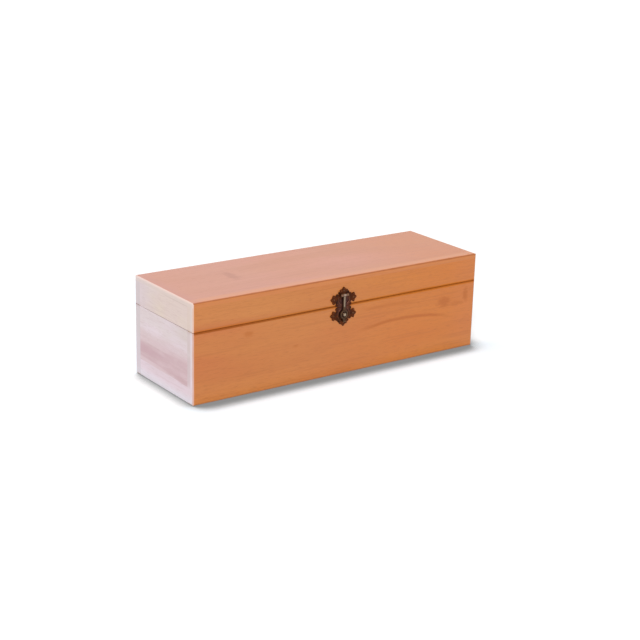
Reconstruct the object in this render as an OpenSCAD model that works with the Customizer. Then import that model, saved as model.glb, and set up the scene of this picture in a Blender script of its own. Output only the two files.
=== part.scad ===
// Wooden box for one wine bottle, with a hinged lid and a hasp clasp.
// X runs along the front from left to right, Y from the front to the back, Z up.
// The origin is on the table, under the middle of the box. All sizes are in millimetres.

/* [Box] */
// Outer length, left to right
box_l = 350; // [310:5:450]
// Outer width, front to back
box_w = 112; // [106:1:160]
// Outer height with the lid closed
box_h = 103; // [98:1:140]
// Height of the lid, with its top panel
lid_h = 29.4; // [27:0.2:36]
// Gap between the lid and the base when the box is closed
seam_gap = 0.3; // [0.3:0.1:1]

/* [Boards] */
// Thickness of the front, back and end boards
board_t = 10; // [9:0.5:12]
// Thickness of the top panel
top_t = 5; // [3:0.5:7]
// Thickness of the bottom panel
bottom_t = 5; // [3:0.5:7]
// Height of the bottom panel above the table
bottom_lift = 3; // [2:0.5:5]
// Depth of the groove that holds the bottom panel
groove_d = 4; // [2:0.5:5]
// Play of the bottom panel in its groove
groove_play = 0.2; // [0.1:0.1:0.6]
// Radius of the outer edges of the box
edge_r = 2.2; // [0.6:0.1:2.6]
// Radius of the outer edges along the seam
seam_r = 0.7; // [0.4:0.1:1.4]

/* [Bottle cradles] */
// Diameter of the bottle's body
bottle_d = 76; // [70:1:80]
// Diameter of the bottle's neck
neck_d = 30; // [26:1:36]
// Room round the bottle in its notches
bottle_room = 1; // [0.5:0.5:3]
// Thickness of each cradle
cradle_t = 12; // [8:1:18]
// Distance from the bottle's axis down to the top of the bottle cradle
bottle_cradle_drop = 15; // [8:1:24]
// Distance from the bottle's axis down to the top of the neck cradle
neck_cradle_drop = 2; // [1:1:8]
// Clear distance from the left end board to the bottle cradle
bottle_cradle_x = 70; // [30:5:110]
// Clear distance from the right end board to the neck cradle
neck_cradle_x = 46; // [20:2:80]
// Play between a cradle and the front and back boards
cradle_play = 0.1; // [0:0.05:0.3]

/* [Clasp plates] */
// Thickness of the plates
plate_t = 0.9; // [0.7:0.1:1.2]
// Distance from the clasp's middle line down from the middle of the seam
clasp_drop = 1.1; // [0.8:0.1:1.4]
// Gap between the two plates
plate_gap = 0.7; // [0.4:0.1:1]
// Radius of a plate's round middle
belly_r = 7.7; // [7.2:0.1:8]
// Distance from the clasp's middle line to the middle of a plate
belly_v = 8.4; // [8:0.1:9]
// Distance from the middle of a plate out to a side lobe
lobe_out = 10.7; // [10.4:0.1:11.6]
// Distance from the clasp's middle line to the end lobe
lobe_end_v = 15.2; // [15:0.1:16.4]
// Radius of a lobe's middle
lobe_r = 2.8; // [2.4:0.1:3]
// Radius of the three small leaves on a lobe
leaf_r = 1.9; // [1.7:0.1:2.1]
// Distance from the middle of a lobe to the middle of its leaves
leaf_out = 2.9; // [2.4:0.1:3.1]
// Radius of a leaf's narrow tip
leaf_tip_r = 1; // [0.7:0.1:1.2]
// Angle between the leaves of a lobe
leaf_turn = 66; // [60:2:72]
// Width of the neck that joins a side lobe to the middle
neck_w = 6.4; // [5:0.2:7]
// Radius of the buds above the necks, between the middle and the side lobes
bud_r = 1.8; // [1.4:0.1:2.2]
// Radius of the buds below the necks
low_bud_r = 1.2; // [0.8:0.1:1.5]
// Radius of the curls beside a plate's foot
curl_r = 1.9; // [1.6:0.1:2.1]
// Radius of the curls below the end lobe
high_curl_r = 1.4; // [1.1:0.1:1.7]
// Distance from the middle of a lobe out to its nail
nail_shift = 1.3; // [1.2:0.1:1.6]
// Distance from the clasp's middle line to the top of a plate's foot
foot_v = 4; // [3:0.1:4.4]
// Radius of the raised cord round a plate
cord_r = 0.4; // [0.2:0.05:0.45]
// Height of the raised beads on the leaves
bead_h = 0.4; // [0.2:0.05:0.6]

/* [Hasp] */
// Distance from the clasp's middle line up to the hasp's pin
hasp_pin_v = 12.1; // [11.6:0.1:12.6]
// Distance from the clasp's middle line down to the knob
knob_v = 8; // [7.6:0.1:8.4]
// Radius of the hasp's pin
hasp_pin_r = 0.6; // [0.5:0.05:0.8]
// Radius of the hasp's knuckles
hasp_knuckle_r = 1.5; // [1.3:0.05:1.7]
// Length of the hasp's own knuckle
hasp_knuckle_l = 3.8; // [3:0.2:4.4]
// Length of each of the plate's two knuckles
plate_knuckle_l = 2.5; // [2:0.1:3]
// Thickness of the hasp
hasp_t = 1.2; // [1:0.1:1.3]
// Width of the hasp's bar at its waist
hasp_w = 3; // [2.6:0.2:3.6]
// Radius of the hasp's eye, outside
eye_r = 4.8; // [4.4:0.1:5]
// Room between the knob's head and the eye
eye_room = 0.6; // [0.5:0.1:0.8]
// Radius of the ridge along the bar
ridge_r = 0.6; // [0.3:0.05:0.7]
// Radius of the raised ring on the eye
eye_cord_r = 0.45; // [0.2:0.05:0.5]
// Width of the finger tab
tab_w = 3.2; // [2.4:0.2:4]
// Radius inside the curl of the finger tab
tab_curl_r = 1.2; // [0.8:0.1:1.3]
// Room between the hasp's face and the knob's head
knob_grip = 0.5; // [0.3:0.1:0.8]
// Radius of the knob's head
knob_r = 2.4; // [2:0.1:2.6]
// Radius of the knob's stem
knob_stem_r = 1.5; // [1.2:0.1:1.7]
// Height of the knob's domed head
knob_head_h = 1.2; // [0.9:0.1:1.5]
// Radius of the knob's tail, which passes through the plate
knob_tail_r = 0.9; // [0.7:0.1:1.1]
// Length of the knob's tail in the board
knob_tail_l = 3; // [2:0.5:5]

/* [Hinges] */
// Width of a hinge
hinge_w = 25; // [22:1:32]
// Height of a leaf below or above the pin
hinge_leaf_h = 14; // [12:0.5:16]
// Thickness of a leaf
hinge_leaf_t = 0.9; // [0.7:0.1:1.1]
// Radius of the knuckles
hinge_knuckle_r = 1.9; // [1.6:0.1:2.2]
// Radius of the pins
hinge_pin_r = 0.8; // [0.6:0.1:1]
// Distance from the end of the box to the middle of a hinge
hinge_inset = 60; // [40:5:90]
// Distance between the two screws of a leaf
hinge_screw_pitch = 15; // [12:1:17]
// Distance from the pin to the screws
hinge_screw_v = 9; // [8:0.2:9.6]
// Radius of a leaf's rounded corners
hinge_corner_r = 1.5; // [0.5:0.1:2.5]

/* [Fasteners] */
// Radius of a screw's head
screw_head_r = 1.9; // [1.7:0.1:2.1]
// Radius of a screw's shank
screw_r = 0.95; // [0.7:0.05:1.1]
// Length of a screw in the wood
screw_l = 7; // [5:0.5:8]
// Height of a screw's slightly raised head
screw_crown = 0.3; // [0.15:0.05:0.4]
// Width of a screw's slot
screw_slot_w = 0.5; // [0.3:0.05:0.6]
// Radius of a nail's head
nail_head_r = 1.2; // [1:0.1:1.4]
// Height of a nail's head
nail_head_h = 0.5; // [0.3:0.1:0.6]
// Radius of a nail's shank
nail_r = 0.55; // [0.4:0.05:0.7]
// Length of a nail in the wood
nail_l = 6; // [4:0.5:8]

/* [Clearances] */
// Gap between pieces that move past each other
move_gap = 0.3; // [0.25:0.05:0.4]
// Radial clearance of a pin that turns in a knuckle
pin_play = 0.05; // [0.03:0.01:0.08]
// Radial clearance round a screw, nail or tail
hole_play = 0.05; // [0.02:0.01:0.1]

/* [Hidden] */
$fn = 48;

// Extra depth of a cut past the face that it leaves
cut = 1;

front_y = -box_w / 2;
back_y = box_w / 2;
inner_l = box_l - 2 * board_t;
inner_w = box_w - 2 * board_t;
lid_z = box_h - lid_h;
base_h = lid_z - seam_gap;
seam_z = lid_z - seam_gap / 2;
rail_h = lid_h - top_t;
floor_z = bottom_lift + bottom_t;
ceiling_z = box_h - top_t;
bottle_z = (floor_z + ceiling_z) / 2;

clasp_z = seam_z - clasp_drop;
plate_edge = plate_gap / 2;
hasp_pin_z = clasp_z + hasp_pin_v;
hasp_pin_y = front_y - hasp_knuckle_r - move_gap;
barrel_l = hasp_knuckle_l + 2 * move_gap + 2 * plate_knuckle_l;
hasp_back = plate_t + move_gap;
hasp_front = hasp_back + hasp_t;
eye_hole_r = knob_r + eye_room;
hasp_l = hasp_pin_v + knob_v;
knob_h = hasp_front - plate_t + knob_grip + knob_head_h;
cord_at = belly_r - cord_r - 0.3;
// Half the angle over which the cord is left open for the hasp
cord_open = 28;
// Where the cord ends, from the side lobe round towards the end lobe, on each plate
hasp_cord_end = 18;
catch_cord_end = 62;
// The leaves' tips and beads, measured from the middle of their leaf
leaf_tip_out = 1.3;
bead_out = 0.8;
bead_r = 0.8;
// The two curls below the end lobe: their direction from the plate's middle, and their distance
high_curl_turn = 50;
high_curl_out = belly_r + 0.5;
foot_curl_u = belly_r;
curl_hole = 0.35;
// The buds' distance out from the middle of a plate
bud_out = belly_r + 0.2;
// The sunk crescents: width, depth, direction from the plate's middle, and slope of their ends
crescent_w = 1;
crescent_depth = 0.45;
crescent_turn = -39;
crescent_slope = 0.35;
nail_points = [[lobe_out + nail_shift, belly_v], [-lobe_out - nail_shift, belly_v],
    [0, lobe_end_v + nail_shift]];

hinge_off = hinge_knuckle_r + move_gap;
// Thickness of a leaf left straight under a screw's countersink
screw_land = 0.15;
hinge_pin_y = back_y + hinge_off;
hinge_x = box_l / 2 - hinge_inset;
knuckle_l = (hinge_w - 2 * move_gap) / 3;
outer_knuckles = [-knuckle_l - move_gap, knuckle_l + move_gap];
middle_knuckle = [0];
screw_points = [[-hinge_screw_pitch / 2, hinge_screw_v], [hinge_screw_pitch / 2, hinge_screw_v]];

pale_wood = "#e4d2cc";
warm_wood = "#cd8453";
top_wood = "#dda896";
inner_wood = "#d9b48a";
bronze = "#3c241a";
worn_bronze = "#5a4638";

// ---------- Shared shapes ----------

// What rounding a square corner at the origin takes away
module corner_nip(r) {
    difference() {
        translate([-cut, -cut])
            square(r + cut);
        translate([r, r])
            circle(r);
    }
}

// Rectangle standing on the X axis, with one radius for its two low corners and one for its high ones
module eased_outline(w, h, low_r, high_r) {
    difference() {
        translate([-w / 2, 0])
            square([w, h]);
        for (side = [0, 1])
            mirror([side, 0])
                translate([-w / 2, 0]) {
                    corner_nip(low_r);
                    translate([0, h])
                        mirror([0, 1])
                            corner_nip(high_r);
                }
    }
}

// The whole base or lid as one block with rounded edges, which the boards are cut from
module eased_block(z, h, low_r, high_r) {
    translate([0, 0, z])
        intersection() {
            translate([0, -box_w / 2])
                linear_extrude(h)
                    eased_outline(box_l, box_w, edge_r, edge_r);
            rotate([90, 0, 0])
                linear_extrude(box_w + 2 * cut, center = true)
                    eased_outline(box_l, h, low_r, high_r);
            rotate([90, 0, 90])
                linear_extrude(box_l + 2 * cut, center = true)
                    eased_outline(box_w, h, low_r, high_r);
        }
}

module base_block() {
    eased_block(0, base_h, edge_r, seam_r);
}

module lid_block() {
    eased_block(lid_z, lid_h, seam_r, edge_r);
}

// A block between two corners
module between(low, high) {
    translate(low)
        cube(high - low);
}

// Turns a shape drawn flat, with Z as its height, to stand on the front of the box at the clasp
module on_front() {
    translate([0, front_y, clasp_z])
        rotate([90, 0, 0])
            children();
}

// The same, upside down, for the plate below the seam
module on_front_below() {
    on_front()
        rotate(180)
            children();
}

// Turns a shape drawn flat to lie on the back of the box, with its origin at a hinge's pin.
// up is 1 for a leaf on the lid and -1 for one on the base.
module on_back(x, up) {
    translate([x, back_y, seam_z])
        rotate([90, 0, 180])
            mirror([0, up > 0 ? 0 : 1, 0])
                children();
}

// A low dome standing on the XY plane
module dome(r, h) {
    ball = (r * r + h * h) / (2 * h);
    intersection() {
        translate([0, 0, h - ball])
            sphere(ball);
        cylinder(h = h + cut, r = r + cut);
    }
}

// A raised bead on a plate's face, with a foot inside the plate
module bead(r, h) {
    translate([0, 0, plate_t]) {
        dome(r, h);
        translate([0, 0, -plate_t / 2])
            cylinder(h = plate_t / 2, r = r);
    }
}

// ---------- Boards ----------

// Room that the bottom panel needs in the boards round it
module bottom_groove() {
    reach = groove_d + groove_play;
    between([-inner_l / 2 - reach, -inner_w / 2 - reach, bottom_lift],
        [inner_l / 2 + reach, inner_w / 2 + reach, floor_z + groove_play]);
}

module front_slice(z, h) {
    between([-box_l / 2 - cut, front_y - cut, z], [box_l / 2 + cut, front_y + board_t, z + h]);
}

module end_slice(z, h) {
    between([-box_l / 2 - cut, -inner_w / 2, z], [-box_l / 2 + board_t, inner_w / 2, z + h]);
}

module front_board() {
    color(warm_wood)
        difference() {
            intersection() {
                base_block();
                front_slice(0, base_h);
            }
            bottom_groove();
            on_front_below()
                plate_nail_holes();
            on_front_below()
                translate([0, knob_v, -knob_tail_l - hole_play])
                    cylinder(h = knob_tail_l + cut, r = knob_tail_r + hole_play);
        }
}

module back_board() {
    color(warm_wood)
        difference() {
            intersection() {
                base_block();
                mirror([0, 1, 0])
                    front_slice(0, base_h);
            }
            bottom_groove();
            for (x = [-hinge_x, hinge_x])
                on_back(x, -1)
                    screw_holes();
        }
}

module left_end_board() {
    color(pale_wood)
        difference() {
            intersection() {
                base_block();
                end_slice(0, base_h);
            }
            bottom_groove();
        }
}

module right_end_board() {
    mirror([1, 0, 0])
        left_end_board();
}

module bottom_panel() {
    color(inner_wood)
        between([-inner_l / 2 - groove_d, -inner_w / 2 - groove_d, bottom_lift],
            [inner_l / 2 + groove_d, inner_w / 2 + groove_d, floor_z]);
}

module lid_front_rail() {
    color(warm_wood)
        difference() {
            intersection() {
                lid_block();
                front_slice(lid_z, rail_h);
            }
            on_front()
                plate_nail_holes();
        }
}

module lid_back_rail() {
    color(warm_wood)
        difference() {
            intersection() {
                lid_block();
                mirror([0, 1, 0])
                    front_slice(lid_z, rail_h);
            }
            for (x = [-hinge_x, hinge_x])
                on_back(x, 1)
                    screw_holes();
        }
}

module lid_left_rail() {
    color(pale_wood)
        intersection() {
            lid_block();
            end_slice(lid_z, rail_h);
        }
}

module lid_right_rail() {
    mirror([1, 0, 0])
        lid_left_rail();
}

module top_panel() {
    color(top_wood)
        intersection() {
            lid_block();
            translate([0, 0, ceiling_z + lid_h / 2])
                cube([box_l + cut, box_w + cut, lid_h], center = true);
        }
}

// ---------- Bottle cradles ----------

// A cross piece with a round notch that carries the bottle, its left face at x
module cradle(x, drop, notch_r) {
    w = inner_w - 2 * cradle_play;
    axis_h = bottle_z - floor_z;
    translate([x, 0, floor_z])
        rotate([90, 0, 90])
            linear_extrude(cradle_t)
                difference() {
                    translate([-w / 2, 0])
                        square([w, axis_h - drop]);
                    translate([0, axis_h])
                        circle(notch_r);
                }
}

module bottle_cradle() {
    color(inner_wood)
        cradle(-inner_l / 2 + bottle_cradle_x, bottle_cradle_drop, bottle_d / 2 + bottle_room);
}

module neck_cradle() {
    color(inner_wood)
        cradle(inner_l / 2 - neck_cradle_x - cradle_t, neck_cradle_drop, neck_d / 2 + bottle_room);
}

// ---------- Clasp ----------

// A lobe with three small leaves, drawn round its nail and pointing along +X
module lobe() {
    circle(lobe_r);
    for (turn = [-leaf_turn, 0, leaf_turn])
        rotate(turn)
            translate([leaf_out, 0]) {
                circle(leaf_r);
                translate([leaf_tip_out, 0])
                    circle(leaf_tip_r);
            }
}

// Puts a shape at each of the three lobes
module at_lobes() {
    translate([lobe_out, belly_v])
        children();
    translate([-lobe_out, belly_v])
        rotate(180)
            children();
    translate([0, lobe_end_v])
        rotate(90)
            children();
}

// A circle at each of the four curls of a plate, of a share of the curl's own radius
module curls(share) {
    for (side = [0, 1])
        mirror([side, 0]) {
            translate([foot_curl_u, plate_edge + curl_r])
                circle(curl_r * share);
            translate([0, belly_v])
                rotate(high_curl_turn)
                    translate([high_curl_out, 0])
                        circle(high_curl_r * share);
        }
}

// The small round buds that fill the corners between a plate's middle and its necks
module buds() {
    for (side = [0, 1])
        mirror([side, 0])
            translate([bud_out, belly_v]) {
                translate([0, neck_w / 2 + bud_r / 4])
                    circle(bud_r);
                translate([0, -neck_w / 2 - low_bud_r / 4])
                    circle(low_bud_r);
            }
}

// The two crescents in the middle of a plate, between the cords and where the hasp lies
module crescents() {
    crescent_out = cord_at - cord_r - 0.2;
    crescent_in = crescent_out - crescent_w;
    for (side = [0, 1])
        mirror([side, 0])
            translate([0, belly_v])
                rotate(crescent_turn)
                    intersection() {
                        difference() {
                            circle(crescent_out);
                            circle(crescent_in);
                        }
                        polygon([[0, 0], [belly_r, -belly_r * crescent_slope], [belly_r, belly_r * crescent_slope]]);
                    }
}

module plate_outline() {
    difference() {
        union() {
            translate([0, belly_v])
                circle(belly_r);
            translate([-lobe_out, belly_v - neck_w / 2])
                square([2 * lobe_out, neck_w]);
            translate([-foot_curl_u, 0])
                square([2 * foot_curl_u, foot_v]);
            at_lobes()
                lobe();
            buds();
            curls(1);
        }
        translate([-lobe_out, plate_edge - 2 * belly_r])
            square([2 * lobe_out, 2 * belly_r]);
        curls(curl_hole);
        for (point = nail_points)
            translate(point)
                circle(nail_r + hole_play);
    }
}

// Two raised cords round a plate's middle, left open where the hasp crosses them.
// end is the angle at which they stop, from the side lobe round towards the end lobe.
module plate_cords(end) {
    for (side = [0, 1])
        mirror([side, 0, 0])
            translate([0, belly_v, plate_t])
                rotate(cord_open - 90)
                    rotate_extrude(angle = end + 90 - cord_open)
                        translate([cord_at, 0])
                            circle(cord_r);
}

module plate(cord_end) {
    difference() {
        linear_extrude(plate_t)
            plate_outline();
        translate([0, 0, plate_t - crescent_depth])
            linear_extrude(crescent_depth + cut)
                crescents();
    }
    plate_cords(cord_end);
    at_lobes()
        for (turn = [-leaf_turn, 0, leaf_turn])
            rotate(turn)
                translate([leaf_out + bead_out, 0])
                    bead(bead_r, bead_h);
}

module plate_nail_holes() {
    for (point = nail_points)
        translate([point[0], point[1], -nail_l - hole_play])
            cylinder(h = nail_l + cut, r = nail_r + hole_play);
}

module plate_nails() {
    for (point = nail_points)
        translate(point) {
            translate([0, 0, plate_t])
                dome(nail_head_r, nail_head_h);
            translate([0, 0, -nail_l])
                cylinder(h = nail_l + plate_t, r = nail_r);
        }
}

module catch_plate() {
    color(bronze)
        on_front_below()
            difference() {
                plate(catch_cord_end);
                translate([0, knob_v, -cut])
                    cylinder(h = plate_t + 2 * cut, r = knob_tail_r + hole_play);
            }
}

module catch_plate_nails() {
    color(worn_bronze)
        on_front_below()
            plate_nails();
}

module catch_knob() {
    color(worn_bronze)
        on_front_below()
            translate([0, knob_v, 0]) {
                translate([0, 0, -knob_tail_l])
                    cylinder(h = knob_tail_l + plate_t + cut, r = knob_tail_r);
                translate([0, 0, plate_t])
                    cylinder(h = knob_h - knob_head_h, r = knob_stem_r);
                translate([0, 0, plate_t + knob_h - knob_head_h])
                    dome(knob_r, knob_head_h);
            }
}

// A rod along X at the hasp's pin
module at_hasp_pin() {
    translate([0, hasp_pin_y, hasp_pin_z])
        rotate([0, 90, 0])
            children();
}

module hasp_plate() {
    slot_h = 2 * (hasp_knuckle_r + move_gap);
    slot_w = hasp_knuckle_l + 2 * move_gap;
    color(bronze)
        difference() {
            union() {
                on_front()
                    plate(hasp_cord_end);
                at_hasp_pin()
                    cylinder(h = barrel_l, r = hasp_knuckle_r, center = true);
            }
            on_front()
                translate([0, hasp_pin_v, 0])
                    cube([slot_w, slot_h, 4 * hasp_knuckle_r + 4 * move_gap], center = true);
            at_hasp_pin()
                cylinder(h = barrel_l + 2 * cut, r = hasp_pin_r + hole_play, center = true);
        }
}

module hasp_plate_nails() {
    color(worn_bronze)
        on_front()
            plate_nails();
}

module hasp_pin() {
    color(worn_bronze)
        at_hasp_pin()
            cylinder(h = barrel_l, r = hasp_pin_r, center = true);
}

// The flat outline of the hasp, drawn from its pin down to its tab
module hasp_outline() {
    half_top = hasp_knuckle_l / 2;
    half_waist = hasp_w / 2;
    waist_v = -hasp_l * 0.4;
    translate([0, -hasp_l])
        circle(eye_r);
    polygon([[-half_top, 0], [half_top, 0], [half_waist, waist_v], [half_top, -hasp_l + eye_r * 0.8],
        [-half_top, -hasp_l + eye_r * 0.8], [-half_waist, waist_v]]);
    translate([-tab_w / 2, -hasp_l - eye_r - 0.5])
        square([tab_w, eye_r / 2]);
}

// The finger tab, curling away from the plate
module finger_tab() {
    outer_r = tab_curl_r + hasp_t;
    translate([-tab_w / 2, front_y - hasp_front - tab_curl_r, hasp_pin_z - hasp_l - eye_r - 0.5])
        rotate([90, 0, 90])
            linear_extrude(tab_w)
                intersection() {
                    difference() {
                        circle(outer_r);
                        circle(tab_curl_r);
                    }
                    translate([0, -outer_r - cut])
                        square(outer_r + cut);
                }
}

module hasp_arm() {
    ridge_top = -hasp_knuckle_r;
    ridge_l = hasp_l - eye_r - hasp_knuckle_r;
    color(worn_bronze)
        difference() {
            union() {
                at_hasp_pin()
                    cylinder(h = hasp_knuckle_l, r = hasp_knuckle_r, center = true);
                on_front()
                    translate([0, hasp_pin_v, hasp_back]) {
                        linear_extrude(hasp_t)
                            hasp_outline();
                        translate([0, ridge_top, hasp_t])
                            rotate([90, 0, 0])
                                cylinder(h = ridge_l, r = ridge_r);
                        translate([0, -hasp_l, hasp_t])
                            rotate_extrude()
                                translate([(eye_r + eye_hole_r) / 2, 0])
                                    circle(eye_cord_r);
                    }
                finger_tab();
            }
            on_front()
                translate([0, -knob_v, hasp_back - cut])
                    cylinder(h = hasp_t + 2 * cut + eye_cord_r, r = eye_hole_r);
            at_hasp_pin()
                cylinder(h = hasp_knuckle_l + 2 * cut, r = hasp_pin_r + pin_play, center = true);
        }
}

// ---------- Hinges ----------

// A screw hole in the wood behind a leaf
module screw_holes() {
    for (point = screw_points)
        translate([point[0], point[1], -screw_l - hole_play])
            cylinder(h = screw_l + cut, r = screw_r + hole_play);
}

// The flat outline of a leaf, notched at each x in notches to clear the other leaf's knuckles
module leaf_outline(notches) {
    notch_w = knuckle_l + 4 * move_gap;
    difference() {
        translate([-hinge_w / 2, 0])
            square([hinge_w, hinge_leaf_h]);
        for (side = [0, 1])
            mirror([side, 0])
                translate([-hinge_w / 2, hinge_leaf_h])
                    mirror([0, 1])
                        corner_nip(hinge_corner_r);
        for (x = notches)
            translate([x - notch_w / 2, -cut])
                square([notch_w, hinge_knuckle_r + move_gap + cut]);
    }
}

// A leaf lying on the XY plane with the pin along X at height hinge_off.
// knuckles and notches list where along X its own knuckles and the other leaf's ones are.
module hinge_leaf(knuckles, notches, bore_r) {
    difference() {
        union() {
            linear_extrude(hinge_leaf_t)
                leaf_outline(notches);
            for (x = knuckles)
                translate([x, 0, hinge_off])
                    rotate([0, 90, 0])
                        rotate(180)
                            cylinder(h = knuckle_l, r = hinge_knuckle_r, center = true);
        }
        translate([0, 0, hinge_off])
            rotate([0, 90, 0])
                cylinder(h = hinge_w + 2 * cut, r = bore_r, center = true);
        for (point = screw_points)
            translate([point[0], point[1], 0])
                countersink();
    }
}

module base_leaf(x) {
    color(bronze)
        on_back(x, -1)
            hinge_leaf(outer_knuckles, middle_knuckle, hinge_pin_r + hole_play);
}

module lid_leaf(x) {
    color(bronze)
        on_back(x, 1)
            hinge_leaf(middle_knuckle, outer_knuckles, hinge_pin_r + pin_play);
}

// The hole for a screw in a leaf
module countersink() {
    translate([0, 0, -cut])
        cylinder(h = hinge_leaf_t + 2 * cut, r = screw_r + hole_play);
    translate([0, 0, screw_land])
        cylinder(h = hinge_leaf_t - screw_land, r1 = screw_r + hole_play, r2 = screw_head_r + hole_play);
    translate([0, 0, hinge_leaf_t])
        cylinder(h = cut, r = screw_head_r + hole_play);
}

// Screws with countersunk, slightly raised and slotted heads
module leaf_screws() {
    for (point = screw_points)
        translate([point[0], point[1], 0])
            difference() {
                union() {
                    translate([0, 0, -screw_l])
                        cylinder(h = screw_l + screw_land, r = screw_r);
                    translate([0, 0, screw_land])
                        cylinder(h = hinge_leaf_t - screw_land, r1 = screw_r, r2 = screw_head_r);
                    translate([0, 0, hinge_leaf_t])
                        dome(screw_head_r, screw_crown);
                }
                translate([0, 0, hinge_leaf_t + screw_crown])
                    rotate(25)
                        cube([3 * screw_head_r, screw_slot_w, 2 * screw_crown + 0.4], center = true);
            }
}

module hinge_pin(x) {
    color(worn_bronze)
        translate([x, hinge_pin_y, seam_z])
            rotate([0, 90, 0]) {
                cylinder(h = hinge_w, r = hinge_pin_r, center = true);
                for (side = [0, 1])
                    mirror([0, 0, side])
                        translate([0, 0, hinge_w / 2])
                            dome(hinge_pin_r * 1.4, hinge_pin_r * 0.6);
            }
}

module left_hinge_base_leaf() {
    base_leaf(-hinge_x);
}

module right_hinge_base_leaf() {
    base_leaf(hinge_x);
}

module left_hinge_lid_leaf() {
    lid_leaf(-hinge_x);
}

module right_hinge_lid_leaf() {
    lid_leaf(hinge_x);
}

module left_hinge_pin() {
    hinge_pin(-hinge_x);
}

module right_hinge_pin() {
    hinge_pin(hinge_x);
}

module hinge_base_screws() {
    color(worn_bronze)
        for (x = [-hinge_x, hinge_x])
            on_back(x, -1)
                leaf_screws();
}

module hinge_lid_screws() {
    color(worn_bronze)
        for (x = [-hinge_x, hinge_x])
            on_back(x, 1)
                leaf_screws();
}

front_board();
back_board();
left_end_board();
right_end_board();
bottom_panel();
bottle_cradle();
neck_cradle();
catch_plate();
catch_knob();
catch_plate_nails();
left_hinge_base_leaf();
right_hinge_base_leaf();
left_hinge_pin();
right_hinge_pin();
hinge_base_screws();
lid_front_rail();
lid_back_rail();
lid_left_rail();
lid_right_rail();
top_panel();
hasp_plate();
hasp_pin();
hasp_plate_nails();
left_hinge_lid_leaf();
right_hinge_lid_leaf();
hinge_lid_screws();
hasp_arm();
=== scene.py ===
# %% [markdown]
# # Dressing a wooden wine box
# The box is a hinged case for one bottle: a front and a back board with their end grain showing, two end boards
# between them, a thin panel on top and a bronze clasp in the middle of the front. The joiner's model of it is
# ready, and this lesson gives it its looks. Nothing here changes a size: the boards and the metalwork stay where
# the model has them, and each gets the finish of its own wood or metal.

# %% Load the box
import math
import bpy
from mathutils import Matrix, Vector


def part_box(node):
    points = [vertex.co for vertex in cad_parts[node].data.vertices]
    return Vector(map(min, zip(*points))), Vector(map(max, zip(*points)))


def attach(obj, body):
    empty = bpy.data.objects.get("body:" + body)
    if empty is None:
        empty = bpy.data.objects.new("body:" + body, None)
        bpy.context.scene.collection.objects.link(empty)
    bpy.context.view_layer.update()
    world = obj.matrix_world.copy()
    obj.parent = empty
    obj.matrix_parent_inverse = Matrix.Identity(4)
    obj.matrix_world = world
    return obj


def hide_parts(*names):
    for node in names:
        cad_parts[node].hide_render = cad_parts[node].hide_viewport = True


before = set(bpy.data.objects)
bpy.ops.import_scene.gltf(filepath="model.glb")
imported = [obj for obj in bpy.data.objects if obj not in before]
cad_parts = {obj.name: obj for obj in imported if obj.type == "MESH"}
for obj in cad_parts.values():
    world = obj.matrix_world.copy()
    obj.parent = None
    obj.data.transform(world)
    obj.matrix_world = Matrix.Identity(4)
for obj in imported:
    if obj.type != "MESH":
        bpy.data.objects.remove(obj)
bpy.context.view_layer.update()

# %% [markdown]
# Every finish below is tied to a place on the box, such as the seam between lid and base or the front arris. The
# main places are read from the boards here, once. Smaller marks are given in metres from the middle of the foot.

# %% Where things are
front_board_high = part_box("front_board")[1]
lid_rail_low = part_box("lid_front_rail")[0]
panel_low, panel_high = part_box("top_panel")
half_length, half_width, height = panel_high
seam = (front_board_high.z + lid_rail_low.z) / 2
middle = Vector((0, 0, height / 2))
print("half length, half width, height and seam:", [round(v, 5) for v in (half_length, half_width, height, seam)])

# %% [markdown]
# ## The camera
# The box is seen from its left front corner and a little from above, with a long lens, so that its edges stay
# nearly parallel. Three angles and a place describe such a view well: how far the camera goes round the box, how
# high it looks down from, and how much it is tilted about its own line of sight.

# %% The camera's place and axes
def camera_axes(around, above, tilt):
    """The camera's right, up and back directions, from three angles in degrees."""
    a, e, t = map(math.radians, (around, above, tilt))
    back = Vector((math.sin(a) * math.cos(e), -math.cos(a) * math.cos(e), math.sin(e)))
    right = (-back).cross(Vector((0, 0, 1))).normalized()
    up = right.cross(-back)
    return right * math.cos(t) + up * math.sin(t), up * math.cos(t) - right * math.sin(t), back


def turned_to(right, up, back, place):
    """The matrix that stands a thing at a place with these three directions as its own axes."""
    return Matrix.Translation(place) @ Matrix((right, up, back)).transposed().to_4x4()


camera_data = bpy.data.cameras.new("camera")
camera_data.lens = 83.89
camera_data.sensor_width = 36
camera_data.clip_end = 30
camera = bpy.data.objects.new("camera", camera_data)
camera_place = (-0.85548, -1.19979, 0.52232)
camera.matrix_world = turned_to(*camera_axes(around=-35.88, above=18.04, tilt=1.57), camera_place)
bpy.context.scene.collection.objects.link(camera)
bpy.context.scene.camera = camera
bpy.context.scene.view_settings.view_transform = "Standard"
print("camera to box, in metres:", round((camera.location - middle).length, 3))

# %% [markdown]
# ## Writing node graphs as formulas
# Wood and metal get their looks from graphs of nodes. Linked one by one, such a graph is long and hard to follow.
# So one small class stands for what a node gives, and Python's own arithmetic on it adds the nodes that work the
# result out. `value * 0.5 + 1.0` makes a multiply node and an add node, and reads like the formula that it is.

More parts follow.
